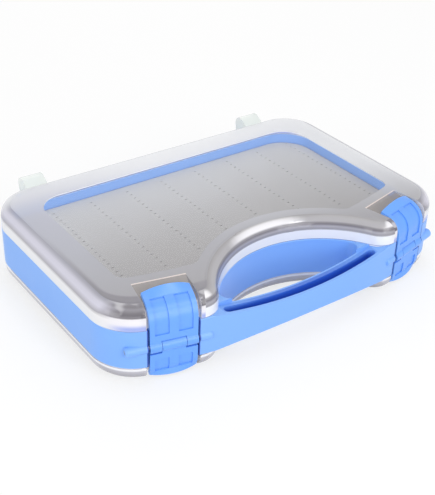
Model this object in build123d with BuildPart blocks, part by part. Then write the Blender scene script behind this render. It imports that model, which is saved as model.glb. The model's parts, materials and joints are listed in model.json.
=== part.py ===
"""Two-sided jig box with a moulded handle.

A blue moulded frame carries a foam tray on each side, a clear lid over each tray,
and two latch stations at the front, where an upper and a lower latch share one pin.
Sizes are in millimetres. +Z is up, the handle is at -Y, and the origin is the centre
of the flat face of the bottom lid on which the box stands.
"""

import os
from math import asin, cos, degrees, radians, sin, sqrt

from build123d import *

# Outline of the box, seen from above
length = 270.0
depth = 187.0
front_radius = 435.0
back_corner = 28.5
front_corner = 30.0
scoop_radius = 72.8
scoop_depth = 50.0
mouth_corner = 15.0

# Heights
frame_height = 27.0
bottom_lid_height = 9.7
top_lid_height = 15.7
lid_gap = 0.3

# Frame
frame_wall = 3.2
floor_thickness = 2.4
edge_bevel = 0.5

# Handle
handle_depth = 12.0
handle_outer_wall = 2.2
handle_inner_wall = 4.0
handle_dip = 5.0
groove_reach = 59.0
gap_corner = 7.0
web_thickness = 2.4

# Lids
lid_wall = 2.4
top_shoulder = 8.5
bottom_shoulder = 7.8
window_depth = 0.7
window_side_margin = 24.0
window_back_margin = 25.5
window_front_margin = 34.5
window_scoop_margin = 14.5
window_back_corner = 18.0
window_front_corner = 8.0

# Foam and gaskets
foam_thickness = 5.5
foam_clearance = 0.5
seal_inset = 1.0
seal_width = 1.1
seal_groove_depth = 1.0
seal_proud = 0.15
seal_clearance = 0.1

# Latches
latch_end_margin = 38.2
latch_width = 30.4
latch_side_gap = 0.9
latch_plate = 2.4
latch_face = 2.6
latch_back_gap = 0.5
upper_bend = 14.0
upper_bend_start = 15.5
upper_turn = 76.0
upper_tab_length = 5.5
upper_tab_rise = 3.6
lower_bend = 11.0
lower_bend_start = 13.5
lower_turn = 25.0
lower_tab_length = 2.6
lower_tab_rise = 2.6
knuckle_radius = 4.2
knuckle_share = 0.5
knuckle_gap = 0.35
panel_depth = 0.8
panel_margin = 3.2
panel_rib = 6.0
panel_foot = 4.4
panel_stop = 2.0
pocket_side_gap = 1.8
upper_pocket_turn = 78.0
upper_pocket_reach = 26.7
lower_pocket_turn = 60.0
lower_pocket_reach = 14.0

# Latch pins and their bosses
pin_inset = 2.4
pin_radius = 1.5
running_gap = 0.05
boss_radius = 3.4
boss_outer_reach = 30.3
boss_inner_reach = 25.0
boss_round = 1.4
station_back = 7.2
station_inner_reach = 30.0
station_outer_reach = 45.0

# Rear hinges
hinge_end_margin = 39.0
hinge_behind = 8.5
hinge_rise = 0.5
hinge_pin_radius = 1.5
hinge_knuckle_width = 16.0
hinge_knuckle_radius = 4.6
hinge_crown_radius = 5.4
hinge_crown_rise = 10.1
hinge_crown_back = 1.0
lower_crown_radius = 5.0
lower_crown_rise = -4.1
hinge_foot_step = 1.8
top_foot_height = 6.8
bottom_foot_height = 5.5
ear_thickness = 3.5
ear_radius = 3.4
ear_gap = 0.4
ear_foot = 17.0

# Places worked out from the sizes above
window_half_width = length / 2 - window_side_margin
latch_x = length / 2 - latch_end_margin
hinge_x = length / 2 - hinge_end_margin
frame_bottom = bottom_lid_height + lid_gap
frame_top = frame_bottom + frame_height
frame_middle = frame_bottom + frame_height / 2
top_lid_bottom = frame_top + lid_gap
box_top = top_lid_bottom + top_lid_height
tray_depth = (frame_height - floor_thickness) / 2
arc_y = front_radius - depth / 2
scoop_y = scoop_depth - depth / 2 - scoop_radius
hinge_y = depth / 2 + hinge_behind
top_hinge_z = frame_top + hinge_rise
bottom_hinge_z = frame_bottom - hinge_rise
latch_angle = asin(latch_x / front_radius)
recess_width = latch_width + 2 * latch_side_gap
pocket_width = latch_width + 2 * pocket_side_gap
knuckle_width = latch_width * knuckle_share


def plan(inset=0.0, scoop=True):
    """The box's outline, drawn in by inset, with or without the finger scoop."""
    with BuildSketch() as outline:
        with Locations((0, arc_y)):
            Circle(front_radius - inset)
        with Locations((0, -inset)):
            Rectangle(length - 2 * inset, depth, mode=Mode.INTERSECT)
        fillet(outline.vertices().group_by(Axis.Y)[-1], back_corner - inset)
        fillet(outline.vertices().group_by(Axis.Y)[0], front_corner - inset)
        if scoop:
            with Locations((0, scoop_y)):
                Circle(scoop_radius + inset, mode=Mode.SUBTRACT)
            fillet(outline.vertices().group_by(Axis.Y)[0], mouth_corner - inset)
    return outline.sketch


def station(side):
    """Plane across a latch: local x points out of the box, y up, z along the pin."""
    out = Vector(side * sin(latch_angle), -cos(latch_angle), 0)
    centre = Vector(0, arc_y, frame_middle) + out * (front_radius - pin_inset)
    return Plane(origin=centre, x_dir=out, z_dir=out.cross(Vector(0, 0, 1)))


def station_box(side, back, half_width, outer_reach=None):
    """Rectangle seen from above that takes in a latch station from back outwards."""
    outer = half_width if outer_reach is None else outer_reach
    out = Vector(side * sin(latch_angle), -cos(latch_angle), 0)
    reach = back + front_corner
    with BuildSketch() as box:
        centre = Vector(0, arc_y) + out * (front_radius - pin_inset - back + reach / 2)
        shift = Vector(-out.Y, out.X) * (side * (outer - half_width) / 2)
        place = centre + shift
        with Locations(Location((place.X, place.Y, 0), (0, 0, side * degrees(latch_angle)))):
            Rectangle(outer + half_width, reach)
    return box.sketch


def gap():
    """The finger gap between the handle and the wall of the scoop, seen from above."""
    with BuildSketch() as opening:
        with Locations((0, scoop_y)):
            Circle(scoop_radius)
        with Locations((0, arc_y)):
            Circle(front_radius - handle_depth, mode=Mode.INTERSECT)
        fillet(opening.vertices(), gap_corner)
    return opening.sketch


def tray(inset):
    """A tray's hollow seen from above, inset from the outline and the stations."""
    with BuildSketch() as hollow:
        add(plan(inset))
        for side in (-1, 1):
            back = station_back + inset - frame_wall
            add(station_box(side, back, station_inner_reach, station_outer_reach), mode=Mode.SUBTRACT)
    return hollow.sketch


def lip(inset):
    """The line of a lid's lip seen from above, going round the latch pockets."""
    with BuildSketch() as outline:
        add(plan(inset))
        for side in (-1, 1):
            back = latch_plate + latch_back_gap - latch_face + inset
            add(station_box(side, back, pocket_width / 2 + inset), mode=Mode.SUBTRACT)
    return outline.sketch


def seal(clearance=0.0):
    """The gasket's ring seen from above, made wider by a clearance on each side."""
    with BuildSketch() as ring:
        add(lip(seal_inset - clearance))
        add(lip(seal_inset + seal_width + clearance), mode=Mode.SUBTRACT)
    return ring.sketch


def boss(side, end, reach):
    """One latch pin boss, from the latch recess out to reach along the pin."""
    start = end * recess_width / 2
    with BuildPart() as post:
        with BuildSketch(station(side).offset(start)):
            Circle(boss_radius)
        extrude(amount=end * (reach - recess_width / 2))
        tip = post.faces().sort_by(Axis(station(side).origin, station(side).z_dir * end))[-1]
        fillet(tip.edges(), boss_round)
    return post.part


def ear(middle):
    """One hinge ear of the frame, a plate round both hinge pins."""
    with BuildPart() as plate:
        with BuildSketch(Plane.YZ.offset(middle - ear_thickness / 2)):
            with Locations((hinge_y, top_hinge_z), (hinge_y, bottom_hinge_z)):
                Circle(ear_radius)
            with Locations((depth / 2, frame_middle)):
                Rectangle(edge_bevel, ear_foot)
            make_hull()
        extrude(amount=ear_thickness)
    return plate.part


with BuildPart() as frame:
    with BuildSketch(Plane.XY.offset(frame_bottom)):
        add(plan(scoop=False))
        add(gap(), mode=Mode.SUBTRACT)
    extrude(amount=frame_height)
    chamfer(frame.edges().group_by(Axis.Z)[-1] + frame.edges().group_by(Axis.Z)[0], edge_bevel)

    # The handle's upper and lower edges dip towards its middle
    dip_radius = (scoop_radius**2 + handle_dip**2) / (2 * handle_dip)
    dip_face = depth / 2 - handle_depth - gap_corner / 2
    for height in (frame_top - handle_dip + dip_radius, frame_bottom + handle_dip - dip_radius):
        with BuildSketch(Plane.XZ.offset(dip_face)):
            with Locations((0, height)):
                Circle(dip_radius)
        extrude(amount=handle_depth + gap_corner, mode=Mode.SUBTRACT)

    # A groove from above and below makes the handle an H in section
    groove_width = handle_depth - handle_outer_wall - handle_inner_wall
    groove_radius = front_radius - handle_outer_wall - groove_width / 2
    groove_half = degrees(asin(groove_reach / groove_radius))
    with BuildLine(Plane.XY) as groove_line:
        CenterArc((0, arc_y), groove_radius, 270 - groove_half, 2 * groove_half)
    for height in (frame_bottom, frame_middle + web_thickness / 2):
        with BuildSketch(Plane.XY.offset(height)):
            SlotArc(groove_line.edge(), groove_width)
        extrude(amount=(frame_height - web_thickness) / 2, mode=Mode.SUBTRACT)

    # Hollows of the two trays and the gasket grooves round them
    for height in (frame_bottom, frame_top - tray_depth):
        with BuildSketch(Plane.XY.offset(height)):
            add(tray(frame_wall))
        extrude(amount=tray_depth, mode=Mode.SUBTRACT)
    for height in (frame_bottom, frame_top - seal_groove_depth):
        with BuildSketch(Plane.XY.offset(height)):
            add(seal(seal_clearance))
        extrude(amount=seal_groove_depth, mode=Mode.SUBTRACT)

    for side in (-1, 1):
        # Recess behind the latches, with a round groove for their knuckles
        with BuildSketch(Plane.XY.offset(frame_bottom)):
            add(station_box(side, latch_plate + latch_back_gap - latch_face, recess_width / 2))
        extrude(amount=frame_height, mode=Mode.SUBTRACT)
        with BuildSketch(station(side)):
            Circle(knuckle_radius + latch_back_gap)
        extrude(amount=recess_width / 2, both=True, mode=Mode.SUBTRACT)
        # Bosses on the pin, and its bore, blind at the inner end
        outer_end = -side
        add(boss(side, outer_end, boss_outer_reach))
        add(boss(side, -outer_end, boss_inner_reach))
        with BuildSketch(station(side).offset(outer_end * boss_outer_reach)):
            Circle(pin_radius + running_gap)
        extrude(amount=-outer_end * (boss_outer_reach + boss_inner_reach - boss_round), mode=Mode.SUBTRACT)
        # Ears for the hinge pins
        ear_offset = (hinge_knuckle_width + ear_thickness) / 2 + ear_gap
        for shift in (-ear_offset, ear_offset):
            add(ear(side * hinge_x + shift))
        for height in (top_hinge_z, bottom_hinge_z):
            with BuildSketch(Plane.YZ.offset(side * hinge_x)):
                with Locations((hinge_y, height)):
                    Circle(hinge_pin_radius + running_gap)
            extrude(amount=ear_offset + ear_thickness, both=True, mode=Mode.SUBTRACT)
frame.part.label = "frame"


def pocket(direction, side, half_width, inset):
    """The space of a latch pocket, outside a floor that follows the latch's back.

    direction is 1 for the upper latch and -1 for the lower. A positive inset drops the
    floor, for the hollow of the lid under it.
    """
    bend, start, turn, reach, top = bends[direction]
    floor_face = latch_face - latch_plate - latch_back_gap - inset
    centre = (latch_face - bend, direction * start)
    radius = bend - latch_plate - latch_back_gap - inset
    end = latch_face - reach
    with BuildPart() as space:
        with BuildSketch(station(side)):
            with BuildLine():
                rise = Line((floor_face, 0), (floor_face, direction * start))
                arc = CenterArc(centre, radius, 0, direction * turn)
                Polyline(
                    arc @ 1,
                    (end, direction * (top - inset)),
                    (end, direction * (top + bend)),
                    (bend, direction * (top + bend)),
                    (bend, 0),
                    rise @ 0,
                )
            make_face()
        extrude(amount=half_width, both=True)
    return space.part


# For each side of the box: the latch's bend radius, the height above the pin where
# it starts, the turn of the pocket's floor, the pocket's reach inwards from the pin
# line, and the height of the lid's flat face above the pin
bends = {
    1: (upper_bend, upper_bend_start, upper_pocket_turn, upper_pocket_reach, box_top - frame_middle),
    -1: (lower_bend, lower_bend_start, lower_pocket_turn, lower_pocket_reach, frame_middle),
}

# For each side: the plate's turn, the tab's length and rise, and where the panels end
tabs = {
    1: (upper_turn, upper_tab_length, upper_tab_rise, upper_turn - panel_stop),
    -1: (lower_turn, lower_tab_length, lower_tab_rise, lower_turn - panel_stop),
}


def window():
    """The clear window of a lid, seen from above."""
    with BuildSketch() as pane:
        with Locations((0, arc_y)):
            Circle(front_radius - window_front_margin)
        with Locations((0, -window_back_margin)):
            Rectangle(2 * window_half_width, depth, mode=Mode.INTERSECT)
        fillet(pane.vertices().group_by(Axis.Y)[-1], window_back_corner)
        fillet(pane.vertices().group_by(Axis.Y)[0], window_front_corner)
        with Locations((0, scoop_y)):
            Circle(scoop_radius + window_scoop_margin, mode=Mode.SUBTRACT)
        fillet(pane.vertices().group_by(Axis.Y)[0], window_front_corner)
    return pane.sketch


def hollow(direction, joint, height, shoulder):
    """The space inside a lid, with room left under each latch pocket."""
    with BuildPart() as space:
        with BuildSketch(Plane.XY.offset(joint)):
            add(plan(lid_wall))
        extrude(amount=direction * (height - lid_wall))
        # A chamfer that touches the round inner line of the shoulder keeps the wall even
        ceiling = space.faces().sort_by(Axis.Z)[-1 if direction > 0 else 0]
        chamfer(ceiling.edges(), (2 - sqrt(2)) * (shoulder - lid_wall))
        for side in (-1, 1):
            add(pocket(direction, side, pocket_width / 2 + lid_wall, lid_wall), mode=Mode.SUBTRACT)
    return space.part


def hinge_knuckle(middle, height, crown_rise, crown_radius, foot_middle, foot_height):
    """A lid's hinge knuckle: a block rounded over the pin and over its crown."""
    with BuildPart() as block:
        with BuildSketch(Plane.YZ.offset(middle - hinge_knuckle_width / 2)):
            with Locations((hinge_y, height)):
                Circle(hinge_knuckle_radius)
            with Locations((hinge_y + hinge_crown_back, height + crown_rise)):
                Circle(crown_radius)
            with Locations((depth / 2 - lid_wall, foot_middle)):
                Rectangle(lid_wall, foot_height)
            make_hull()
        extrude(amount=hinge_knuckle_width)
    return block.part


def lid(direction, joint, height, shoulder, hinge_z, crown_rise, crown_radius, foot_height):
    """A clear lid with its shoulder, latch pockets and hinge knuckles."""
    foot_middle = joint + direction * (hinge_foot_step + foot_height / 2)
    with BuildPart() as shell:
        with BuildSketch(Plane.XY.offset(joint)):
            add(plan())
        extrude(amount=direction * height)
        face = shell.faces().sort_by(Axis.Z)[-1 if direction > 0 else 0]
        fillet(face.edges(), shoulder)
        for side in (-1, 1):
            middle = side * hinge_x
            add(hinge_knuckle(middle, hinge_z, crown_rise, crown_radius, foot_middle, foot_height))
        add(hollow(direction, joint, height, shoulder), mode=Mode.SUBTRACT)
        for side in (-1, 1):
            add(pocket(direction, side, pocket_width / 2, 0), mode=Mode.SUBTRACT)
            with BuildSketch(Plane.YZ.offset(side * hinge_x)):
                with Locations((hinge_y, hinge_z)):
                    Circle(hinge_pin_radius + running_gap)
            extrude(amount=hinge_knuckle_width, both=True, mode=Mode.SUBTRACT)
    return shell.part


parts = [frame.part]

with BuildPart() as top_lid:
    add(
        lid(
            1,
            top_lid_bottom,
            top_lid_height,
            top_shoulder,
            top_hinge_z,
            hinge_crown_rise,
            hinge_crown_radius,
            top_foot_height,
        )
    )
    # The window lies a little below the rim; the bottom lid stands on a plain face
    with BuildSketch(Plane.XY.offset(box_top)):
        add(window())
    extrude(amount=-window_depth, mode=Mode.SUBTRACT)
top_lid.part.label = "top_lid"
parts.append(top_lid.part)

with BuildPart() as bottom_lid:
    add(
        lid(
            -1,
            bottom_lid_height,
            bottom_lid_height,
            bottom_shoulder,
            bottom_hinge_z,
            lower_crown_rise,
            lower_crown_radius,
            bottom_foot_height,
        )
    )
bottom_lid.part.label = "bottom_lid"
parts.append(bottom_lid.part)


def latch(direction, side):
    """A latch: a plate bent over the lid's shoulder, two panels, knuckles and a tab."""
    bend, start = bends[direction][:2]
    turn, tab, rise, panel_end = tabs[direction]
    back = latch_face - latch_plate
    centre = (latch_face - bend, direction * start)
    with BuildPart() as body:
        with BuildSketch(station(side)):
            with BuildLine():
                inner = CenterArc(centre, bend - latch_plate, 0, direction * turn)
                outer = CenterArc(centre, bend, 0, direction * turn)
                Line(inner @ 1, outer @ 1)
                Polyline(outer @ 0, (latch_face, 0), (back, 0), inner @ 0)
            make_face()
        extrude(amount=latch_width / 2, both=True)

        # The hinge end: outer knuckles on the upper latch, a middle one on the lower
        clear_of = knuckle_radius + knuckle_gap
        if direction > 0:
            notch = [(0, knuckle_width / 2 + knuckle_gap)]
        else:
            notch = [(end * latch_width / 2, (latch_width - knuckle_width) / 2) for end in (-1, 1)]
        for middle, half in notch:
            with BuildSketch(station(side).offset(middle)):
                Rectangle(2 * clear_of + bend, 2 * clear_of)
            extrude(amount=half, both=True, mode=Mode.SUBTRACT)
        if direction > 0:
            width = (latch_width - knuckle_width) / 2 - knuckle_gap
            knuckles = [(end * (latch_width - width) / 2, width / 2) for end in (-1, 1)]
        else:
            knuckles = [(0, knuckle_width / 2)]
        for middle, half in knuckles:
            with BuildSketch(station(side).offset(middle)):
                Circle(knuckle_radius)
            extrude(amount=half, both=True)
        with BuildSketch(station(side)):
            Circle(pin_radius + running_gap)
        extrude(amount=latch_width, both=True, mode=Mode.SUBTRACT)

        # Two recessed panels with a rib between them
        panel_width = (latch_width - 2 * panel_margin - panel_rib) / 2
        for end in (-1, 1):
            with BuildSketch(station(side).offset(end * (panel_width + panel_rib) / 2)):
                with BuildLine():
                    deep = CenterArc(centre, bend - panel_depth, 0, direction * panel_end)
                    high = CenterArc(centre, bend + panel_depth, 0, direction * panel_end)
                    Line(deep @ 1, high @ 1)
                    low = direction * (clear_of + panel_foot)
                    Polyline(
                        high @ 0,
                        (latch_face + panel_depth, low),
                        (latch_face - panel_depth, low),
                        deep @ 0,
                    )
                make_face()
            extrude(amount=panel_width / 2, both=True, mode=Mode.SUBTRACT)

        # The arched finger tab, lofted from the plate's end
        angle = radians(turn)
        here = station(side)
        normal = here.x_dir * cos(angle) + here.y_dir * (direction * sin(angle))
        along = here.x_dir * -sin(angle) + here.y_dir * (direction * cos(angle))
        foot = here.from_local_coords(Vector(*centre)) + normal * bend
        with BuildSketch(Plane(origin=foot, x_dir=normal.cross(along), z_dir=along)):
            with Locations((0, -latch_plate / 2)):
                Rectangle(latch_width, latch_plate)
        with BuildSketch(Plane(origin=foot + along * tab, x_dir=normal.cross(along), z_dir=along)):
            with BuildLine():
                half = latch_width / 2
                top = ThreePointArc((-half, 0), (0, rise), (half, 0))
                low = ThreePointArc((-half, -latch_plate), (0, rise - latch_plate), (half, -latch_plate))
                Line(top @ 0, low @ 0)
                Line(top @ 1, low @ 1)
            make_face()
        loft(ruled=True)
    return body.part


for direction, level in ((1, "upper"), (-1, "lower")):
    for side, hand in ((-1, "left"), (1, "right")):
        with BuildPart() as one_latch:
            add(latch(direction, side))
        one_latch.part.label = f"{hand}_{level}_latch"
        parts.append(one_latch.part)

# Foam on both faces of the frame's floor, and the gaskets in the frame's edges
layers = (
    (1, "top", frame_middle + floor_thickness / 2, frame_top - seal_groove_depth),
    (-1, "bottom", frame_middle - floor_thickness / 2, frame_bottom + seal_groove_depth),
)
for direction, level, floor_face, groove_face in layers:
    with BuildPart() as foam:
        with BuildSketch(Plane.XY.offset(floor_face)):
            add(tray(frame_wall + foam_clearance))
        extrude(amount=direction * foam_thickness)
    foam.part.label = f"{level}_foam"
    parts.append(foam.part)

    with BuildPart() as gasket:
        with BuildSketch(Plane.XY.offset(groove_face)):
            add(seal())
        extrude(amount=direction * (seal_groove_depth + seal_proud))
    gasket.part.label = f"{level}_gasket"
    parts.append(gasket.part)

# Steel pins of the hinges and the latches
for side, hand in ((-1, "left"), (1, "right")):
    for level, height in (("top", top_hinge_z), ("bottom", bottom_hinge_z)):
        with BuildPart() as hinge_pin:
            with BuildSketch(Plane.YZ.offset(side * hinge_x)):
                with Locations((hinge_y, height)):
                    Circle(hinge_pin_radius)
            extrude(amount=hinge_knuckle_width / 2 + ear_gap + ear_thickness, both=True)
        hinge_pin.part.label = f"{hand}_{level}_hinge_pin"
        parts.append(hinge_pin.part)

    with BuildPart() as latch_pin:
        with BuildSketch(station(side).offset(-side * (boss_outer_reach - running_gap))):
            Circle(pin_radius)
        extrude(amount=side * (boss_outer_reach + boss_inner_reach - boss_round - 2 * running_gap))
    latch_pin.part.label = f"{hand}_latch_pin"
    parts.append(latch_pin.part)

os.makedirs("parts", exist_ok=True)
for piece in parts:
    export_step(piece, f"parts/{piece.label}.step")
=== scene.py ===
"""Looks of the two-sided jig box: plastics, clear lids, slit foam, studio and camera."""

import json
import logging
import math
from dataclasses import dataclass
from enum import Enum
from typing import Sequence

import bmesh
import bpy
from mathutils import Matrix, Vector


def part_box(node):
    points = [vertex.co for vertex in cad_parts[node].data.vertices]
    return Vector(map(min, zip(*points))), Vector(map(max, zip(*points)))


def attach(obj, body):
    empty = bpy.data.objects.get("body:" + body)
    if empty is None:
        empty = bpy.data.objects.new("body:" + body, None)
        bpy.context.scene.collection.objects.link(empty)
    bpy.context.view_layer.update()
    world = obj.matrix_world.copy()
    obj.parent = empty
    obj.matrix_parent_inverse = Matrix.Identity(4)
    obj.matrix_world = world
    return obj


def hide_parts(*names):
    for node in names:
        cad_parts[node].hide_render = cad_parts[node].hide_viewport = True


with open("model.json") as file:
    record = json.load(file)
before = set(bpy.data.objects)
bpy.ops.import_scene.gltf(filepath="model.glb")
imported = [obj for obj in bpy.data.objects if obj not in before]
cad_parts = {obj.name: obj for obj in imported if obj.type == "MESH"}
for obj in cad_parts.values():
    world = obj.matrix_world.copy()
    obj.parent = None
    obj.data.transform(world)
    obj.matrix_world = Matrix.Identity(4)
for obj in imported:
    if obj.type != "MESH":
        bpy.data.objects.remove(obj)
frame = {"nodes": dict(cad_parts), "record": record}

log = logging.getLogger("jig_box")

MM = 0.001
PLASTIC_IOR = 1.49
FOAM_IOR = 1.4
MERGE_DISTANCE = 0.001 * MM
FLAT_ANGLE = 0.01

Colour = tuple[float, float, float]
Place = tuple[float, float, float]
Span = tuple[float, float]
Stop = tuple[float, Colour]


class Side(Enum):
    """The two sides of the box, by the way each one faces."""

    TOP = 1
    BOTTOM = -1

    @property
    def word(self) -> str:
        """The word that the nodes of this side have in their names."""
        return self.name.lower()


class Hand(Enum):
    """Left and right, seen from the handle."""

    LEFT = -1
    RIGHT = 1

    @property
    def word(self) -> str:
        """The word that the nodes of this hand have in their names."""
        return self.name.lower()


class Value:
    """A shader socket with arithmetic: an expression on values adds its Math nodes."""

    def __init__(self, graph: "Graph", socket: bpy.types.NodeSocket) -> None:
        """Wraps a socket of a graph."""
        self.graph = graph
        self.socket = socket

    def _math(self, operation: str, first: "Value | float", second: "Value | float") -> "Value":
        """Adds a Math node with two inputs and returns its result."""
        return self.graph.node("ShaderNodeMath", {"operation": operation}, {0: first, 1: second})

    def __add__(self, other: "Value | float") -> "Value":
        """Sum of two values."""
        return self._math("ADD", self, other)

    def __radd__(self, other: float) -> "Value":
        """Sum with a number on the left."""
        return self._math("ADD", other, self)

    def __sub__(self, other: "Value | float") -> "Value":
        """Difference of two values."""
        return self._math("SUBTRACT", self, other)

    def __rsub__(self, other: float) -> "Value":
        """A number less this value."""
        return self._math("SUBTRACT", other, self)

    def __neg__(self) -> "Value":
        """The value with its sign turned."""
        return self * -1.0

    def __mul__(self, other: "Value | float") -> "Value":
        """Product of two values."""
        return self._math("MULTIPLY", self, other)

    def __rmul__(self, other: float) -> "Value":
        """Product with a number on the left."""
        return self._math("MULTIPLY", other, self)

    def __truediv__(self, other: "Value | float") -> "Value":
        """Quotient of two values."""
        return self._math("DIVIDE", self, other)

    def __rtruediv__(self, other: float) -> "Value":
        """A number over this value."""
        return self._math("DIVIDE", other, self)

    def __gt__(self, other: "Value | float") -> "Value":
        """1 where this value is greater, else 0."""
        return self._math("GREATER_THAN", self, other)

    def __lt__(self, other: "Value | float") -> "Value":
        """1 where this value is less, else 0."""
        return self._math("LESS_THAN", self, other)

    def least(self, other: "Value | float") -> "Value":
        """The lesser of two values."""
        return self._math("MINIMUM", self, other)

    def most(self, other: "Value | float") -> "Value":
        """The greater of two values."""
        return self._math("MAXIMUM", self, other)

    def size(self) -> "Value":
        """The value without its sign."""
        return self._math("ABSOLUTE", self, 0.0)

    def reach(self, other: "Value") -> "Value":
        """The length of a line that goes this far one way and that far across it."""
        return self._math("POWER", self * self + other * other, 0.5)

    def rise(self, low: float, high: float) -> "Value":
        """A smooth step.

        Args:
            low: Where it leaves 0.
            high: Where it arrives at 1.

        Returns:
            The height of the step, from 0 to 1.
        """
        settings = {"interpolation_type": "SMOOTHSTEP"}
        inputs = {"Value": self, "From Min": low, "From Max": high, "To Min": 0.0, "To Max": 1.0}
        return self.graph.node("ShaderNodeMapRange", settings, inputs)


class Graph:
    """The nodes of a material or world, and the one method that adds them."""

    def __init__(self, owner: bpy.types.Material | bpy.types.World) -> None:
        """Empties the node tree of a material or a world.

        Args:
            owner: What the nodes belong to.
        """
        owner.use_nodes = True
        self.owner = owner
        self.tree = owner.node_tree
        self.tree.nodes.clear()

    @classmethod
    def of_material(cls, name: str) -> "Graph":
        """A new material's graph."""
        return cls(bpy.data.materials.new(name))

    def node(
        self,
        kind: str,
        settings: dict | None = None,
        inputs: dict | None = None,
        output: int | str = 0,
    ) -> Value | None:
        """Adds one node.

        Args:
            kind: The node's type, such as ShaderNodeMath.
            settings: Its properties, or the stops of a ramp, which are set first.
            inputs: Numbers, colours or values for its sockets, by name or number.
            output: Which output to return.

        Returns:
            The chosen output as a value, or None from a node with no outputs.
        """
        made = self.tree.nodes.new(kind)
        for name, setting in (settings or {}).items():
            if name == "stops":
                self._set_stops(made.color_ramp, setting)
            else:
                setattr(made, name, setting)
        for key, given in (inputs or {}).items():
            socket = made.inputs[key]
            if isinstance(given, Value):
                self.tree.links.new(given.socket, socket)
            elif isinstance(given, tuple) and len(given) == 3 and socket.type == "RGBA":
                socket.default_value = (*given, 1.0)
            else:
                socket.default_value = given
        return Value(self, made.outputs[output]) if made.outputs else None

    @staticmethod
    def _set_stops(ramp: bpy.types.ColorRamp, stops: Sequence[Stop]) -> None:
        """Sets the stops of a colour ramp, two of which it has from the start.

        Args:
            ramp: The ramp.
            stops: The place of each stop, from 0 to 1, and its colour.
        """
        while len(ramp.elements) < len(stops):
            ramp.elements.new(0.5)
        for element, (place, colour) in zip(ramp.elements, stops):
            element.position = place
            element.color = (*colour, 1.0)

    def places(self) -> Value:
        """Object coordinates, in metres."""
        return self.node("ShaderNodeTexCoord", output="Object")

    def axes(self, vector: Value) -> list[Value]:
        """The X, Y and Z of a vector."""
        split = self.node("ShaderNodeSeparateXYZ", None, {0: vector})
        return [Value(self, out) for out in split.socket.node.outputs]

    def slope(self) -> list[Value]:
        """The X, Y and Z of the surface's own normal."""
        return self.axes(self.node("ShaderNodeTexCoord", output="Normal"))

    def mix(self, share: Value, low: Value | Colour, high: Value | Colour) -> Value:
        """A colour between two others."""
        return self.node("ShaderNodeMix", {"data_type": "RGBA"}, {0: share, 6: low, 7: high}, 2)

    def choose(self, share: Value, low: Value | float, high: Value | float) -> Value:
        """A number between two others."""
        return self.node("ShaderNodeMix", {"data_type": "FLOAT"}, {0: share, 2: low, 3: high})

    def ramp(self, share: Value, stops: Sequence[Stop]) -> Value:
        """A colour from a ramp."""
        return self.node("ShaderNodeValToRGB", {"stops": stops}, {0: share})

    def shader(self, **inputs: Value | float | Colour) -> Value:
        """A Principled shader, whose sockets are named with _ for a space."""
        named = {name.replace("_", " "): given for name, given in inputs.items()}
        return self.node("ShaderNodeBsdfPrincipled", None, named)

    def rays(self, *kinds: str) -> Value:
        """Tells the rays of some kinds from all others.

        Args:
            kinds: The names of the Light Path node's outputs.

        Returns:
            1 for rays of the named kinds, else 0.
        """
        path = self.node("ShaderNodeLightPath").socket.node
        found = Value(self, path.outputs[kinds[0]])
        for kind in kinds[1:]:
            found = found + Value(self, path.outputs[kind])
        return found.least(1.0)

    def lit_through(self, surface: Value, share: float) -> Value:
        """A see-through surface that lets light reach what it covers.

        Args:
            surface: The surface's shader.
            share: The share of the light that passes.

        Returns:
            The shader of both.
        """
        light = self.rays("Is Shadow Ray", "Is Diffuse Ray") * share
        gone = self.node("ShaderNodeBsdfTransparent", None, {"Color": (1.0, 1.0, 1.0)})
        return self.node("ShaderNodeMixShader", None, {0: light, 1: surface, 2: gone})

    def finish(self, surface: Value) -> bpy.types.Material:
        """Links the surface to the output and returns the material."""
        self.node("ShaderNodeOutputMaterial", None, {"Surface": surface})
        return self.owner


@dataclass(frozen=True)
class Marks:
    """Marks all over a finish, such as a grain, clouds, lines or glints.

    Args:
        scale: How many of them lie in a metre.
        detail: How ragged they are.
        stretch: How much closer they lie along each axis.
        span: The noise at which a mark starts and is full.
        depth: Their depth, in metres.
        strength: How strongly their depth is felt.
    """

    scale: float
    detail: float = 2.0
    stretch: Place = (1.0, 1.0, 1.0)
    span: Span = (0.0, 1.0)
    depth: float = 0.0
    strength: float = 0.0

    def noise(self, g: Graph) -> Value:
        """Lays the marks out on Object coordinates.

        Args:
            g: The material's graph.

        Returns:
            Noise from 0 to 1.
        """
        where = g.node("ShaderNodeMapping", None, {"Vector": g.places(), "Scale": self.stretch})
        inputs = {"Vector": where, "Scale": self.scale, "Detail": self.detail}
        return g.node("ShaderNodeTexNoise", None, inputs)

    def spots(self, g: Graph) -> Value:
        """1 where a mark is full, 0 between the marks."""
        return self.noise(g).rise(*self.span)

    def bump(self, g: Graph, height: Value) -> Value:
        """The bump normal of marks with a height from 0 to 1."""
        inputs = {"Height": height, "Distance": self.depth, "Strength": self.strength}
        return g.node("ShaderNodeBump", None, inputs)


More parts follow.
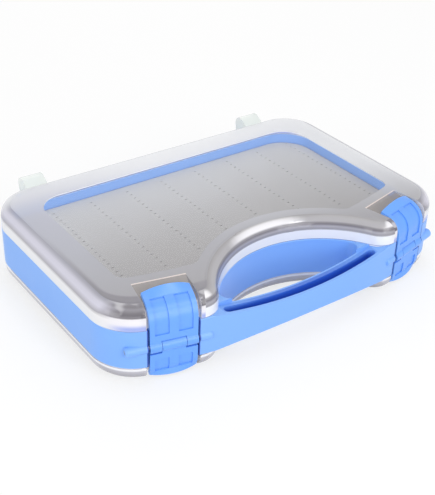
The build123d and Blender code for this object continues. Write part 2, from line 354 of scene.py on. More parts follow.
@dataclass(frozen=True)
class Outline:
    """The box's outline and its latches' places, for finishes that follow them.

    Args:
        half_length: Half the box's length, in metres.
        front: The Y of the foremost point of the bowed front.
        pivot: The right latches' pin, in metres.
        turned: How far the right latches are turned from the box's front, in radians.
        frame_half: Half the frame's height, from the latches' pins to its upper edge.
        bow: Radius of the bowed front.
        corner: Radius of a front corner.
        scoop: Radius of the scoop in the front.
        scoop_y: The Y of the scoop's centre.
    """

    half_length: float
    front: float
    pivot: Place
    turned: float
    frame_half: float = 13.5 * MM
    bow: float = 435.0 * MM
    corner: float = 30.0 * MM
    scoop: float = 72.8 * MM
    scoop_y: float = -116.3 * MM

    def behind_front(self, x: Value, y: Value) -> Value:
        """Distance in from the bowed front."""
        return self.bow - x.reach(y - (self.front + self.bow))

    def inset(self, x: Value, y: Value) -> Value:
        """Measures inwards from the front, its corners and the ends, as if there were no scoop.

        Args:
            x: The surface's X.
            y: The surface's Y.

        Returns:
            The distance.
        """
        past_end = (self.corner - (self.half_length - x.size())).most(0.0)
        past_front = (self.corner - self.behind_front(x, y)).most(0.0)
        return self.corner - past_end.reach(past_front)

    def from_scoop(self, x: Value, y: Value) -> Value:
        """Distance out from the scoop's edge."""
        return x.reach(y - self.scoop_y) - self.scoop

    def by_latch(self, x: Value, y: Value) -> tuple[Value, Value]:
        """Distances from the nearer latch's middle along its pin, and in from the pin's line.

        Args:
            x: The surface's X.
            y: The surface's Y.

        Returns:
            The distance along the pin, without its sign, and the distance inwards.
        """
        aside = x.size() - self.pivot[0]
        ahead = y - self.pivot[1]
        along = aside * math.cos(self.turned) + ahead * math.sin(self.turned)
        inwards = ahead * math.cos(self.turned) - aside * math.sin(self.turned)
        return along.size(), inwards


@dataclass(frozen=True)
class MouldedPlastic:
    """Coloured moulded plastic with a satin grain and faint flow marks.

    Args:
        name: The material's name.
        colour: The plastic's colour, linear.
        deep: Its colour where flow marks darken it.
        roughness: Mean roughness.
        flow: The flow marks.
        flow_share: How far a full one goes to the deep colour.
        clouds: Duller and glossier clouds.
        cloud_gloss: How far they change the roughness.
        grain: The satin grain.
        grain_gloss: How far it changes the roughness.
    """

    name: str
    colour: Colour
    deep: Colour
    roughness: float
    flow: Marks = Marks(9.0, 3.0, (1.0, 2.4, 1.6), (0.35, 0.75))
    flow_share: float = 0.55
    clouds: Marks = Marks(55.0)
    cloud_gloss: float = 0.12
    grain: Marks = Marks(2600.0, 3.0, depth=0.012 * MM, strength=0.6)
    grain_gloss: float = 0.08

    def tint(self, g: Graph) -> Value:
        """The plastic's colour, with its flow marks."""
        return g.mix(self.flow.spots(g) * self.flow_share, self.colour, self.deep)

    def build(self) -> bpy.types.Material:
        """Makes the plastic.

        Returns:
            Its material.
        """
        g = Graph.of_material(self.name)
        grain = self.grain.noise(g)
        cloud = self.clouds.noise(g)
        dullness = self.roughness + (cloud - 0.5) * self.cloud_gloss + (grain - 0.5) * self.grain_gloss
        surface = g.shader(
            Base_Color=self.tint(g),
            Roughness=dullness,
            Normal=self.grain.bump(g, grain),
            IOR=PLASTIC_IOR,
        )
        return g.finish(surface)


@dataclass(frozen=True, kw_only=True)
class FramePlastic(MouldedPlastic):
    """The frame's plastic, with painted shade in the handle's groove and beside the latches.

    Args:
        outline: The box's outline.
        groove_half: Half the groove's length.
        groove_front: How far behind the front the groove starts.
        bar_back: How far behind the front the painted shade on the inner bar's side ends.
        groove_sunk: How far down in the groove its painted shade starts to deepen and is deepest.
        groove_upper: The groove's colour by its edge, darkened as painted shade.
        groove_floor: Its colour deep down, the darkest painted shade.
        recess_half: Half the width of a latch's recess.
        recess_reach: How far in from the pin's line a recess has painted shade on its sides.
        shade_width: Width of the painted shade line at each side of a recess.
        shade: Its colour.
    """

    outline: Outline
    groove_half: float = 63.0 * MM
    groove_front: float = 2.3 * MM
    bar_back: float = 10.8 * MM
    groove_sunk: Span = (1.2 * MM, 6.5 * MM)
    groove_upper: Colour = (0.15, 0.35, 0.88)
    groove_floor: Colour = (0.03, 0.125, 0.62)
    recess_half: float = 16.1 * MM
    recess_reach: float = 8.0 * MM
    shade_width: float = 0.8 * MM
    shade: Colour = (0.02, 0.075, 0.40)

    def tint(self, g: Graph) -> Value:
        """Colours the plastic, with painted shade in its groove and at the sides of its recesses.

        Args:
            g: The material's graph.

        Returns:
            The frame's colour.
        """
        x, y, z = g.axes(g.places())
        behind = self.outline.behind_front(x, y)
        groove = (x.size() < self.groove_half) * (behind > self.groove_front) * (behind < self.bar_back)
        sunk = self.outline.frame_half - (z - self.outline.pivot[2]).size()
        # Painted shade: the whole groove is darker than the plastic, and darkest deep down
        deep = g.mix(sunk.rise(*self.groove_sunk), self.groove_upper, self.groove_floor)
        colour = g.mix(groove, super().tint(g), deep)
        # Painted shade: a dark line down each side of a latch's recess
        across, inwards = self.outline.by_latch(x, y)
        beside = (across - self.recess_half).size() < self.shade_width
        return g.mix(beside * (inwards < self.recess_reach), colour, self.shade)


@dataclass(frozen=True)
class LidPoint:
    """A point of a lid's surface, as the lid's finish sees it.

    Args:
        x: Its X.
        y: Its Y.
        up: 1 where the surface faces as the lid's face does, 0 where it is upright.
        below: How far it lies below the lid's face.
        ahead: 1 where an upright surface faces the handle, -1 where it faces the hinges.
        aside: 1 where an upright surface faces right, -1 where it faces left.
    """

    x: Value
    y: Value
    up: Value
    below: Value
    ahead: Value
    aside: Value

    @classmethod
    def on(cls, g: Graph, side: Side, face: float) -> "LidPoint":
        """Reads the point from a material's coordinates.

        Args:
            g: The material's graph.
            side: The lid's side.
            face: The height of the lid's flat face.

        Returns:
            The point.
        """
        x, y, z = g.axes(g.places())
        slope_x, slope_y, slope_z = g.slope()
        outwards = float(side.value)
        # The last term keeps a flat face from a division by zero
        spread = slope_x.reach(slope_y) + 0.01
        return cls(
            x=x,
            y=y,
            up=slope_z * outwards,
            below=(face - z) * outwards,
            ahead=-slope_y / spread,
            aside=slope_x / spread,
        )


@dataclass(frozen=True)
class FrostedRim:
    """The painted light and shade of a lid's rim: pale at the back, grey in front, dark by the front left
    corner.

    Args:
        outline: The box's outline.
        back: The rim's colour at the back and right, pale with painted light.
        left: Its colour at the back left.
        middle: Its colour half way to the front.
        front: Its colour in front.
        dark: The colour of the painted shade band by the front left corner.
        greying: The Ys between which the front's colour turns into the middle's.
        leftward: How far left the left's colour sets in and is full.
        fading: The Ys between which the left's colour fades to the back.
        fade: How far it fades.
        band_width: Width of the painted shade band.
        band_growth: How much wider it is by the corner.
        growing: How far forward the band starts to widen and is widest.
        band_edge: Where the band's inner edge starts and ends, in shares of its width.
        band_left: How far left the band sets in and is full.
        band_forward: How far forward the band sets in and is full.
    """

    outline: Outline
    back: Colour = (0.74, 0.75, 0.78)
    left: Colour = (0.42, 0.43, 0.52)
    middle: Colour = (0.39, 0.395, 0.45)
    front: Colour = (0.335, 0.325, 0.34)
    dark: Colour = (0.215, 0.205, 0.235)
    greying: Span = (-100.0 * MM, 10.0 * MM)
    leftward: Span = (0.0, 120.0 * MM)
    fading: Span = (40.0 * MM, 90.0 * MM)
    fade: float = 0.7
    band_width: float = 10.5 * MM
    band_growth: float = 8.0 * MM
    growing: Span = (50.0 * MM, 80.0 * MM)
    band_edge: Span = (0.8, 1.05)
    band_left: Span = (50.0 * MM, 85.0 * MM)
    band_forward: Span = (-40.0 * MM, 70.0 * MM)

    def tint(self, g: Graph, at: LidPoint, to_back: Value) -> Value:
        """Colours the rim with painted light and shade.

        Args:
            g: The material's graph.
            at: The point of the lid.
            to_back: 0 at the front left, 1 at the back and right.

        Returns:
            The rim's colour.
        """
        left = (-at.x).rise(*self.leftward) * (1.0 - at.y.rise(*self.fading) * self.fade)
        grey = g.mix(at.y.rise(*self.greying), self.front, self.middle)
        colour = g.mix(to_back, grey, g.mix(left, self.back, self.left))
        # Painted shade: a dark band inside the front left corner, wider towards the front
        width = self.band_width + (-at.y).rise(*self.growing) * self.band_growth
        band = 1.0 - (self.outline.inset(at.x, at.y) / width).rise(*self.band_edge)
        dark = band * (-at.x).rise(*self.band_left) * (-at.y).rise(*self.band_forward)
        return g.mix(dark, colour, self.dark)


# The shoulder's painted light: bands of painted highlight, reflection and shade, from an upright surface at
# 0 to the flat face at 1
SIDE_PAINTED_LIGHT: tuple[Stop, ...] = (
    (0.00, (0.84, 0.84, 0.85)),
    (0.10, (0.66, 0.65, 0.67)),
    (0.22, (0.36, 0.35, 0.39)),
    (0.38, (0.47, 0.46, 0.53)),
    (0.60, (0.64, 0.63, 0.73)),
    (0.80, (0.61, 0.60, 0.69)),
    (0.93, (0.42, 0.415, 0.48)),
    (0.985, (0.35, 0.35, 0.41)),
)
FRONT_PAINTED_LIGHT: tuple[Stop, ...] = (
    (0.00, (0.84, 0.82, 0.86)),
    (0.19, (0.80, 0.78, 0.82)),
    (0.27, (0.15, 0.14, 0.16)),
    (0.40, (0.12, 0.11, 0.13)),
    (0.60, (0.17, 0.16, 0.18)),
    (0.78, (0.28, 0.27, 0.30)),
    (0.90, (0.19, 0.18, 0.20)),
    (0.985, (0.20, 0.19, 0.22)),
)
SCOOP_PAINTED_LIGHT: tuple[Stop, ...] = (
    (0.00, (0.84, 0.86, 0.92)),
    (0.06, (0.60, 0.60, 0.65)),
    (0.12, (0.25, 0.24, 0.27)),
    (0.30, (0.33, 0.32, 0.36)),
    (0.46, (0.13, 0.12, 0.15)),
    (0.58, (0.24, 0.23, 0.25)),
    (0.66, (0.42, 0.41, 0.43)),
    (0.85, (0.42, 0.41, 0.43)),
    (0.985, (0.36, 0.35, 0.36)),
)

# The lower lid's painted light: bands of painted shade, with a painted highlight by the joint, from its face
# at 0 to its joint with the frame at 1
LOWER_PAINTED_LIGHT: tuple[Stop, ...] = (
    (0.00, (0.34, 0.325, 0.33)),
    (0.45, (0.44, 0.425, 0.46)),
    (0.80, (0.52, 0.51, 0.56)),
    (0.88, (0.90, 0.90, 0.92)),
)


@dataclass(frozen=True)
class BandedShoulder:
    """The painted highlights, reflections and shade on the upper lid's round shoulder and its upright wall.

    Args:
        outline: The box's outline.
        height: The lid's height.
        drop: How far the round shoulder drops from the face.
        corner_lean: How much a surface that faces left counts as one that faces ahead.
        fronting: How far ahead a surface faces where the front's bands set in and are full.
        scoop_reach: How far from the scoop's edge its own bands reach.
        glints: The glints in front.
        glint: Their colour.
        glint_from: How far up a surface faces where they start.
        streak: The colour of the painted highlight round the scoop.
        streak_up: How far up the surface faces in the highlight's middle.
        streak_edge: How far from there the highlight starts to end and ends.
        streak_ahead: How far ahead it faces where the highlight sets in and is full.
        back: The colour of the shoulder at the hinges, pale with painted light.
        backing: How far to the hinges a surface faces where that sets in and is full.
        mirrored: The frame's blue, as the wall's foot mirrors it.
        mirror_rise: Where on the wall that sets in and is full, in shares from its top.
        mirror_ahead: How far ahead the wall faces where it sets in and is full.
        seam: The colour of the dark seam at the wall's foot.
        seam_height: The seam's height.
    """

    outline: Outline
    height: float
    drop: float = 8.5 * MM
    corner_lean: float = 0.35
    fronting: Span = (0.55, 0.95)
    scoop_reach: float = 10.0 * MM
    glints: Marks = Marks(75.0, 1.0, (1.0, 1.0, 2.2), (0.58, 0.68))
    glint: Colour = (0.50, 0.49, 0.52)
    glint_from: float = 0.3
    streak: Colour = (0.88, 0.87, 0.90)
    streak_up: float = 0.81
    streak_edge: Span = (0.09, 0.21)
    streak_ahead: Span = (0.88, 0.98)
    back: Colour = (0.74, 0.75, 0.79)
    backing: Span = (0.0, 0.7)
    mirrored: Colour = (0.36, 0.43, 0.80)
    mirror_rise: Span = (0.25, 0.7)
    mirror_ahead: Span = (0.4, 0.8)
    seam: Colour = (0.20, 0.28, 0.55)
    seam_height: float = 0.45 * MM

    def front_bands(self, g: Graph, at: LidPoint) -> Value:
        """The painted shade bands in front, with their glints."""
        glints = self.glints.spots(g) * (at.up > self.glint_from)
        return g.mix(glints, g.ramp(at.up, FRONT_PAINTED_LIGHT), self.glint)

    def scoop_bands(self, g: Graph, at: LidPoint) -> Value:
        """The painted light bands round the scoop, with their painted highlight."""
        streak = 1.0 - (at.up - self.streak_up).size().rise(*self.streak_edge)
        return g.mix(streak * at.ahead.rise(*self.streak_ahead), g.ramp(at.up, SCOOP_PAINTED_LIGHT), self.streak)

    def tint(self, g: Graph, at: LidPoint) -> Value:
        """Colours the shoulder and the wall with painted light and shade.

        Args:
            g: The material's graph.
            at: The point of the lid.

        Returns:
            The colour of the lid's edge.
        """
        front = (at.ahead - at.aside * self.corner_lean).rise(*self.fronting)
        scoop = self.outline.from_scoop(at.x, at.y) < self.scoop_reach
        bands = g.mix(front, g.ramp(at.up, SIDE_PAINTED_LIGHT), self.front_bands(g, at))
        bands = g.mix(scoop, bands, self.scoop_bands(g, at))
        bands = g.mix((-at.ahead).rise(*self.backing), bands, self.back)

        wall = ((at.below - self.drop) / (self.height - self.drop)).rise(*self.mirror_rise)
        mirror = wall * (1.0 - scoop) * at.ahead.rise(*self.mirror_ahead)
        bands = g.mix(mirror, bands, self.mirrored)
        seam = (at.below > self.height - self.seam_height) * front
        return g.mix(seam, bands, self.seam)


@dataclass(frozen=True)
class LatchPocket:
    """Where a lid's latch pockets are, and their colours.

    Args:
        half: Half a pocket's width.
        reach: How far it reaches in from the pin's line.
        side_slack: How far past its sides a surface counts as its own.
        end_slack: How far past its end a surface counts as its own.
        brim_slack: How far past its sides the bright brim at its end goes.
        brim_outer: How far past the pocket's end the brim goes.
        brim_inner: How far before the pocket's end it starts.
        brim: The brim's colour.
        floor: The colour of its grey-brown floor.
        wall: The colour of its clear walls.
        glints: The glints in the walls.
        glint: Their colour.
        floor_from: How far up a surface faces where the floor starts.
    """

    half: float = 17.0 * MM
    reach: float = 24.1 * MM
    side_slack: float = 0.3 * MM
    end_slack: float = 0.2 * MM
    brim_slack: float = 0.4 * MM
    brim_outer: float = 1.1 * MM
    brim_inner: float = 0.6 * MM
    brim: Colour = (0.80, 0.69, 0.64)
    floor: Colour = (0.33, 0.30, 0.285)
    wall: Colour = (0.50, 0.47, 0.48)
    glints: Marks = Marks(120.0, 1.0, (1.0, 1.0, 0.35), (0.5, 0.75))
    glint: Colour = (0.72, 0.70, 0.72)
    floor_from: float = 0.8

    def covers(self, across: Value, inwards: Value) -> Value:
        """1 in a pocket, else 0."""
        return (across < self.half + self.side_slack) * (inwards < self.reach + self.end_slack)

    def has_brim(self, across: Value, inwards: Value) -> Value:
        """1 at a pocket's end, else 0."""
        near = (across < self.half + self.brim_slack) * (inwards < self.reach + self.brim_outer)
        return near * (inwards > self.reach - self.brim_inner)

    def tint(self, g: Graph, at: LidPoint) -> Value:
        """The colour of a pocket's floor and its walls."""
        walls = g.mix(self.glints.spots(g), self.wall, self.glint)
        return g.mix(at.up > self.floor_from, walls, self.floor)


@dataclass(frozen=True)
class LidParts:
    """The parts of a lid, each 1 where a point is on it, else 0.

    Args:
        flat: The flat face, with the window's.
        window: The sunk window.
        step: The window's edge.
        knuckles: The hinge knuckles, behind the lid's wall.
        inside: What faces the tray.
        pocket: The latch pockets.
        brim: The bright brims at the pockets' ends.
    """

    flat: Value
    window: Value
    step: Value
    knuckles: Value
    inside: Value
    pocket: Value
    brim: Value


@dataclass(frozen=True)
class ClearPlastic:
    """Clear moulded plastic: a polished window in a frosted rim, and banded shoulders, with painted light
    and shade on them.

    Args:
        name: The material's name.
        side: The side whose lid it is for.
        outline: The box's outline.
        face: Height of the lid's flat face, in metres.
        height: The lid's height.
        back: The Y of the lid's back wall, in metres.
        pocket: Its latch pockets.
        window_depth: How far the window lies below the face.
        step_slack: How far below the window its edge may reach.
        knuckle_gap: How far behind the back wall the knuckles start.
        flat_from: How far up a surface faces where it counts as flat.
        upright_to: How far up it faces where it no longer counts as upright.
        inside_to: How far down it faces where it counts as the inside.
        back_lean: How much a place to the right counts as one to the back.
        backward: Where the rim and the window's edge turn pale with painted light, from the front to the
            back.
        step_front: The colour of the window's edge at the front left, dark with painted shade.
        step_back: Its colour at the back and right, pale with painted light.
        window: The window's colour, a faint white veil of painted reflection.
        knuckles: The knuckles' colour.
        polish: Roughness of the polished parts.
        frosting: How much rougher the rim is.
        grain: The frosting's grain.
        let_through: Share of the light that the plastic lets through to what it covers.
    """

    name: str
    side: Side
    outline: Outline
    face: float
    height: float
    back: float
    pocket: LatchPocket = LatchPocket()
    window_depth: float = 0.7 * MM
    step_slack: float = 0.1 * MM
    knuckle_gap: float = 0.3 * MM
    flat_from: float = 0.985
    upright_to: float = 0.5
    inside_to: float = 0.05
    back_lean: float = 0.3
    backward: Span = (-60.0 * MM, 50.0 * MM)
    step_front: Colour = (0.42, 0.41, 0.41)
    step_back: Colour = (0.95, 0.96, 0.98)
    window: Colour = (0.86, 0.86, 0.87)
    knuckles: Colour = (0.79, 0.84, 0.81)
    polish: float = 0.05
    frosting: float = 0.3
    grain: Marks = Marks(1900.0, 3.0, depth=0.02 * MM, strength=0.7)
    let_through: float = 0.9

    def parts(self, at: LidPoint) -> LidParts:
        """Finds which part of the lid a point is on.

        Args:
            at: The point.

        Returns:
            The parts.
        """
        flat = at.up > self.flat_from
        across, inwards = self.outline.by_latch(at.x, at.y)
        return LidParts(
            flat=flat,
            window=flat * (at.below > self.window_depth / 2),
            step=(at.below < self.window_depth + self.step_slack) * (at.up < self.upright_to),
            knuckles=at.y > self.back + self.knuckle_gap,
            inside=at.up < -self.inside_to,
            pocket=self.pocket.covers(across, inwards),
            brim=self.pocket.has_brim(across, inwards) * flat,
        )

    def edge(self, g: Graph, at: LidPoint) -> Value:
        """Colours the lid's edge, which has its own bands of painted light and shade on each side of the
        box.

        Args:
            g: The material's graph.
            at: The point of the lid.

        Returns:
            The edge's colour.
        """
        if self.side is Side.TOP:
            return BandedShoulder(self.outline, self.height).tint(g, at)
        return g.ramp(at.below / self.height, LOWER_PAINTED_LIGHT)

    def tint(self, g: Graph, at: LidPoint, parts: LidParts) -> Value:
        """Colours the lid, part by part.

        Args:
            g: The material's graph.
            at: The point of the lid.
            parts: The part that it is on.

        Returns:
            The lid's colour.
        """
        # Painted light: the rim and the window's edge turn pale towards the back and right
        to_back = (at.y + at.x * self.back_lean).rise(*self.backward)
        rim = FrostedRim(self.outline).tint(g, at, to_back)
        colour = g.mix(parts.flat, self.edge(g, at), rim)
        for part, own in (
            (parts.pocket, self.pocket.tint(g, at)),
            (parts.brim, self.pocket.brim),
            (parts.window, self.window),
            (parts.step, g.mix(to_back, self.step_front, self.step_back)),
            (parts.knuckles, self.knuckles),
        ):
            colour = g.mix(part, colour, own)
        return colour

    @staticmethod
    def solidity(g: Graph, parts: LidParts) -> Value:
        """Sets how much of what lies behind each part shows through it.

        Args:
            g: The material's graph.
            parts: The part that the point is on.

        Returns:
            The lid's alpha: 1 hides all, 0 nothing.
        """
        alpha = g.choose(parts.flat, 0.88, 0.9)
        for part, own in (
            (parts.pocket, 0.62),
            (parts.window, 0.07),
            (parts.knuckles, 0.75),
            (parts.inside, 0.03),
            (parts.step, 0.9),
        ):
            alpha = g.choose(part, alpha, own)
        return alpha

    def build(self) -> bpy.types.Material:
        """Makes the plastic.

        Returns:
            Its material.
        """
        g = Graph.of_material(self.name)
        at = LidPoint.on(g, self.side, self.face)
        parts = self.parts(at)
        frost = parts.flat * (1.0 - parts.window)
        surface = g.shader(
            Base_Color=self.tint(g, at, parts),
            Alpha=self.solidity(g, parts),
            Roughness=self.polish + frost * self.frosting,
            Normal=self.grain.bump(g, self.grain.noise(g) * frost),
            IOR=PLASTIC_IOR,
        )
        return g.finish(g.lit_through(surface, self.let_through))


@dataclass(frozen=True)
class CellFoam:
    """Closed-cell foam with a dull skin, with painted shade near the handle and painted light towards the
    back.
    """

    name: str
    colour: Colour
    warm: Colour
    backward: Span = (-50.0 * MM, 100.0 * MM)
    cells: Marks = Marks(1500.0, depth=0.06 * MM, strength=0.3)
    clouds: Marks = Marks(14.0, 3.0, span=(0.3, 0.75))
    mottle: Marks = Marks(420.0, 3.0)
    dullness: float = 0.82
    speckle: float = 0.12

    def build(self) -> bpy.types.Material:
        """Makes the foam.

        Returns:
            Its material.
        """
        g = Graph.of_material(self.name)
        cells = g.node("ShaderNodeTexVoronoi", None, {"Vector": g.places(), "Scale": self.cells.scale})
        mottle = self.mottle.noise(g)
        # Painted light and shade: the foam is paler towards the back, mixed with its own clouds and mottle
        far = g.axes(g.places())[1].rise(*self.backward)
        light_and_mottle = far * 0.8 + self.clouds.spots(g) * 0.1 + mottle * 0.1
        surface = g.shader(
            Base_Color=g.mix(light_and_mottle, self.warm, self.colour),
            Roughness=self.dullness + mottle * self.speckle,
            Normal=self.cells.bump(g, cells),
            IOR=FOAM_IOR,
        )
        return g.finish(surface)


@dataclass(frozen=True)
class PlainRubber:
    """Pale soft seal rubber, with a share of its colour in its darkest specks."""

    name: str
    colour: Colour
    speck_share: float = 0.9
    specks: Marks = Marks(700.0, depth=0.02 * MM, strength=0.5)

    def build(self) -> bpy.types.Material:
        """Makes the rubber.

        Returns:
            Its material.
        """
        g = Graph.of_material(self.name)
        specks = self.specks.noise(g)
        surface = g.shader(
            Base_Color=g.mix(specks, self.colour, tuple(c * self.speck_share for c in self.colour)),
            Roughness=0.5 + specks * 0.2,
            Normal=self.specks.bump(g, specks),
        )
        return g.finish(surface)


@dataclass(frozen=True)
class DrawnSteel:
    """Bright wire, drawn along X, with a dark and a bright colour for its drawing lines."""

    name: str
    dark: Colour = (0.55, 0.56, 0.58)
    bright: Colour = (0.7, 0.7, 0.71)
    lines: Marks = Marks(2200.0, stretch=(0.05, 1.0, 1.0), depth=0.005 * MM, strength=0.5)

    def build(self) -> bpy.types.Material:
        """Makes the steel.

        Returns:
            Its material.
        """
        g = Graph.of_material(self.name)
        lines = self.lines.noise(g)
        surface = g.shader(
            Base_Color=g.mix(lines, self.dark, self.bright),
            Metallic=1.0,
            Roughness=0.22 + lines * 0.15,
            Normal=self.lines.bump(g, lines),
        )
        return g.finish(surface)


def dress(node: str, finish: bpy.types.Material) -> None:
    """Gives a CAD node its finish.

    Args:
        node: The node's name.
        finish: The material for all of it.
    """
    data = frame["nodes"][node].data
    data.materials.clear()
    data.materials.append(finish)
    log.info("dressed %s with %s", node, finish.name)


def merged(node: str) -> bmesh.types.BMesh:
    """A copy of a CAD node as one closed mesh with its flat faces whole.

    Args:
        node: The node's name.

    Returns:
        The copy, for more modelling.
    """
    shape = bmesh.new()
    shape.from_mesh(frame["nodes"][node].data)
    bmesh.ops.remove_doubles(shape, verts=shape.verts, dist=MERGE_DISTANCE)
    bmesh.ops.dissolve_limit(shape, angle_limit=FLAT_ANGLE, verts=shape.verts, edges=shape.edges)
    bmesh.ops.recalc_face_normals(shape, faces=shape.faces)
    return shape


def outer_face(side: Side, piece: str) -> float:
    """The height of the face that a side's piece has outwards."""
    low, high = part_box(f"{side.word}_{piece}")
    return high.z if side is Side.TOP else low.z


def new_piece(name: str, shape: bmesh.types.BMesh, finish: bpy.types.Material | None) -> bpy.types.Object:
    """Makes an object from a bmesh, which it frees.

    Args:
        name: The piece's name.
        shape: Its mesh, in place.
        finish: Its material, if it has one.

    Returns:
        The object, at the origin.
    """
    data = bpy.data.meshes.new(name)
    shape.to_mesh(data)
    shape.free()
    if finish:
        data.materials.append(finish)
    piece = bpy.data.objects.new(name, data)
    bpy.context.scene.collection.objects.link(piece)
    return piece


def apply_modifiers(piece: bpy.types.Object) -> None:
    """Puts the result of a piece's modifiers into its mesh.

    Args:
        piece: The object whose modifiers end there.
    """
    graph = bpy.context.evaluated_depsgraph_get()
    made = bpy.data.meshes.new_from_object(piece.evaluated_get(graph))
    piece.modifiers.clear()
    piece.data = made


@dataclass
class FoamPad:
    """A foam pad in a tray of the frame, with rows of slits that start at the back."""

    side: Side
    finish: bpy.types.Material
    row_pitch: float = 30.3 * MM
    rows_each_way: int = 4
    slit_pitch: float = 5.5 * MM
    slits: int = 19
    first_slit: float = 82.0 * MM
    slit_length: float = 2.4 * MM
    slit_width: float = 0.9 * MM
    slit_depth: float = 3.0 * MM
    slit_corners: int = 8
    edge_round: float = 0.7 * MM
    fill: float = 0.9

    def pad(self) -> bmesh.types.BMesh:
        """Shapes the pad without its slits, with a rounded edge round its open face.

        Returns:
            The pad's mesh.
        """
        shape = merged(f"{self.side.word}_foam")
        face = outer_face(self.side, "foam")
        near = 0.01 * MM
        rim = [e for e in shape.edges if all(abs(v.co.z - face) < near for v in e.verts)]
        bmesh.ops.bevel(
            shape,
            geom=rim,
            offset=self.edge_round,
            segments=3,
            profile=0.5,
            affect="EDGES",
            material=-1,
        )
        return shape

    def cutters(self) -> bmesh.types.BMesh:
        """Shapes a thin lens-shaped prism for each slit, half of it above the pad's face.

        Returns:
            All the prisms in one mesh.
        """
        shape = bmesh.new()
        face = outer_face(self.side, "foam")
        sizes = (self.slit_length, self.slit_width, 2 * self.slit_depth)
        for row in range(-self.rows_each_way, self.rows_each_way + 1):
            for step in range(self.slits):
                centre = (row * self.row_pitch, self.first_slit - step * self.slit_pitch, face)
                verts = self.unit_prism(shape)
                bmesh.ops.scale(shape, verts=verts, vec=sizes)
                bmesh.ops.translate(shape, verts=verts, vec=centre)
        bmesh.ops.recalc_face_normals(shape, faces=shape.faces)
        return shape

    def unit_prism(self, shape: bmesh.types.BMesh) -> list[bmesh.types.BMVert]:
        """Adds a prism that is 1 wide and 1 high, centred on the origin.

        Args:
            shape: The mesh that gets it.

        Returns:
            Its vertices.
        """
        ring = bmesh.ops.create_circle(shape, cap_ends=True, segments=self.slit_corners, radius=0.5)["verts"]
        faces = list({f for v in ring for f in v.link_faces})
        grown = bmesh.ops.extrude_face_region(shape, geom=faces)["geom"]
        top = [v for v in grown if isinstance(v, bmesh.types.BMVert)]
        bmesh.ops.translate(shape, verts=top, vec=(0, 0, 1.0))
        bmesh.ops.translate(shape, verts=ring + top, vec=(0, 0, -0.5))
        return ring + top

    def build(self) -> bpy.types.Object:
        """Makes the pad and puts it in the CAD solid's place.

        Returns:
            The pad.
        """
        word = self.side.word
        pad = new_piece(f"{word}_foam_pad", self.pad(), self.finish)
        cutter = new_piece(f"{word}_slit_cutter", self.cutters(), None)
        cut = pad.modifiers.new("slits", "BOOLEAN")
        cut.operation = "DIFFERENCE"
        cut.object = cutter
        cut.solver = "EXACT"
        apply_modifiers(pad)
        bpy.data.objects.remove(cutter)
        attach(pad, "frame")
        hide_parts(f"{word}_foam")
        log.info("made %s with %d faces", pad.name, len(pad.data.polygons))
        return pad


@dataclass
class Body:
    """The moulded frame, its seals and its pins."""

    plastic: bpy.types.Material
    rubber: bpy.types.Material
    steel: bpy.types.Material

    def build(self) -> None:
        """Dresses the frame and what it holds."""
        dress("frame", self.plastic)
        for side in Side:
            dress(f"{side.word}_gasket", self.rubber)
        for hand in Hand:
            dress(f"{hand.word}_latch_pin", self.steel)
            for side in Side:
                dress(f"{hand.word}_{side.word}_hinge_pin", self.steel)


@dataclass
class Lid:
    """A clear lid, with a seal inside its back wall and a small gap at its joint."""

    side: Side
    outline: Outline
    seal_inset: float = 1.0 * MM
    joint_gap: float = 0.3 * MM

    def build(self) -> None:
        """Dresses the lid with clear plastic that knows its places."""
        word = self.side.word
        face = outer_face(self.side, "lid")
        finish = ClearPlastic(
            name=f"{word}_clear_plastic",
            side=self.side,
            outline=self.outline,
            height=abs(face - self.outline.pivot[2]) - self.outline.frame_half - self.joint_gap,
            face=face,
            back=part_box(f"{word}_gasket")[1].y + self.seal_inset,
        )
        dress(f"{word}_lid", finish.build())


@dataclass
class Latches:
    """The four latches."""

    plastic: bpy.types.Material

    def build(self) -> None:
        """Dresses the latches."""
        for hand in Hand:
            for level in ("upper", "lower"):
                dress(f"{hand.word}_{level}_latch", self.plastic)


@dataclass(frozen=True)
class Lamp:
    """A square soft lamp aimed at the box, in metres and watts."""

    name: str
    place: Place
    width: float
    power: float

    def build(self) -> None:
        """Makes the lamp."""
        data = bpy.data.lights.new(self.name, "AREA")
        data.size = self.width
        data.energy = self.power
        lamp = bpy.data.objects.new(self.name, data)
        lamp.location = self.place
        lamp.rotation_mode = "QUATERNION"
        lamp.rotation_quaternion = (-Vector(self.place)).to_track_quat("-Z", "Y")
        lamp.visible_camera = False
        bpy.context.scene.collection.objects.link(lamp)


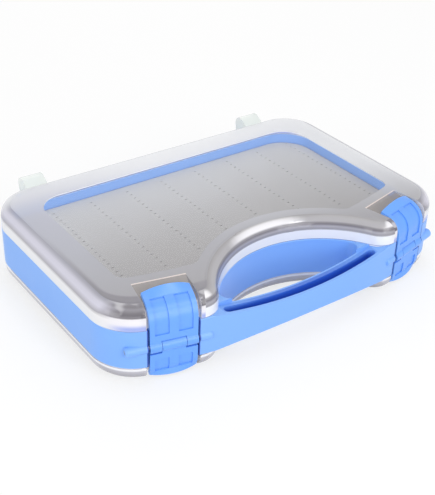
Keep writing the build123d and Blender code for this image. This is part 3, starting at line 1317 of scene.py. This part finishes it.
@dataclass
class Studio:
    """A plain pale floor, a white sky and soft lamps round the box."""

    floor_radius: float = 3.0
    floor_sides: int = 96
    floor_grey: float = 0.8
    shadow_depth: float = 0.3
    sky: float = 0.66
    lamps: tuple[Lamp, ...] = (
        Lamp("front", (0.1, -1.4, 0.5), 0.8, 6.5),
        Lamp("left", (-1.35, -0.35, 0.4), 0.8, 5.5),
        Lamp("bend", (0.18, -0.78, 0.9), 0.22, 1.3),
        Lamp("top", (0.15, 0.35, 1.45), 0.8, 2.0),
        Lamp("back", (0.55, 1.15, 0.7), 0.7, 2.0),
    )

    def build(self) -> None:
        """Makes the floor, the world and the lamps."""
        self.floor()
        self.world()
        for lamp in self.lamps:
            lamp.build()
        log.info("made the floor, the sky and %d lamps", len(self.lamps))

    @staticmethod
    def seen(g: Graph) -> Value:
        """1 for rays that show the background, 0 for rays that light the object."""
        return g.rays("Is Camera Ray", "Is Glossy Ray", "Is Transmission Ray")

    def floor(self) -> None:
        """A round floor that stays white and keeps the box's shadow."""
        shape = bmesh.new()
        bmesh.ops.create_circle(shape, cap_ends=True, segments=self.floor_sides, radius=self.floor_radius)
        g = Graph.of_material("pale_floor")
        plain = g.node("ShaderNodeBsdfDiffuse", None, {"Color": (self.floor_grey,) * 3})
        shaded = g.node("ShaderNodeBsdfDiffuse", None, {"Color": (self.shadow_depth,) * 3})
        glow = g.node("ShaderNodeEmission", None, {"Strength": 1.0 - self.shadow_depth})
        white = g.node("ShaderNodeAddShader", None, {0: shaded, 1: glow})
        both = g.node("ShaderNodeMixShader", None, {0: self.seen(g), 1: plain, 2: white})
        piece = new_piece("floor", shape, g.finish(both))

    def world(self) -> None:
        """An even white sky, brighter where it is seen than where it lights."""
        world = bpy.data.worlds.new("studio")
        bpy.context.scene.world = world
        g = Graph(world)
        white = (1.0, 1.0, 1.0)
        lit = g.node("ShaderNodeBackground", None, {"Color": white, "Strength": self.sky})
        shown = g.node("ShaderNodeBackground", None, {"Color": white, "Strength": 1.0})
        both = g.node("ShaderNodeMixShader", None, {0: self.seen(g), 1: lit, 2: shown})
        g.node("ShaderNodeOutputWorld", None, {"Surface": both})


@dataclass
class PhotoCamera:
    """The camera at the photograph's viewing angle, with its lens and sensor in millimetres."""

    place: Place = (-349.1 * MM, -462.5 * MM, 379.1 * MM)
    turn: float = math.radians(36.56)
    dip: float = math.radians(32.194)
    roll: float = math.radians(2.019)
    lens: float = 70.43
    sensor: float = 36.0
    nearest: float = 0.02
    furthest: float = 20.0

    def build(self) -> None:
        """Makes the scene's camera."""
        data = bpy.data.cameras.new("photo_camera")
        data.lens = self.lens
        data.sensor_width = self.sensor
        data.clip_start = self.nearest
        data.clip_end = self.furthest
        camera = bpy.data.objects.new("photo_camera", data)
        turned = (
            Matrix.Rotation(-self.turn, 4, "Z")
            @ Matrix.Rotation(math.pi / 2 - self.dip, 4, "X")
            @ Matrix.Rotation(self.roll, 4, "Z")
        )
        camera.matrix_world = Matrix.Translation(self.place) @ turned
        bpy.context.scene.collection.objects.link(camera)
        bpy.context.scene.camera = camera
        log.info("made the camera")


def box_outline() -> Outline:
    """Reads the box's outline from the frame and from the right latches' joint.

    Returns:
        The outline.
    """
    low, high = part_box("frame")
    joints = {joint["name"]: joint for joint in frame["record"]["behaviour"]["joints"]}
    latch = joints["right_upper_latch_pivot"]
    return Outline(
        half_length=high.x,
        front=low.y,
        pivot=tuple(latch["pos_m"]),
        turned=math.atan2(latch["axis"][1], latch["axis"][0]),
    )


def main() -> None:
    """Builds the box's looks, the studio and the camera."""
    logging.basicConfig(level=logging.INFO, format="%(message)s")
    bpy.context.scene.view_settings.view_transform = "Standard"
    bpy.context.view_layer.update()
    outline = box_outline()
    body_plastic = FramePlastic(
        name="blue_plastic",
        colour=(0.215, 0.44, 0.94),
        deep=(0.19, 0.41, 0.93),
        roughness=0.38,
        outline=outline,
    )
    latch_plastic = MouldedPlastic(
        name="latch_plastic",
        colour=(0.145, 0.37, 0.92),
        deep=(0.125, 0.345, 0.90),
        roughness=0.31,
    )
    rubber = PlainRubber(name="seal_rubber", colour=(0.8, 0.81, 0.83))
    steel = DrawnSteel(name="pin_steel")
    foam = CellFoam(name="cell_foam", colour=(0.60, 0.61, 0.64), warm=(0.355, 0.338, 0.338)).build()
    Body(body_plastic.build(), rubber.build(), steel.build()).build()
    Latches(latch_plastic.build()).build()
    for side in Side:
        FoamPad(side, foam).build()
        Lid(side, outline).build()
    PhotoCamera().build()
    Studio().build()


if __name__ == "__main__":
    main()
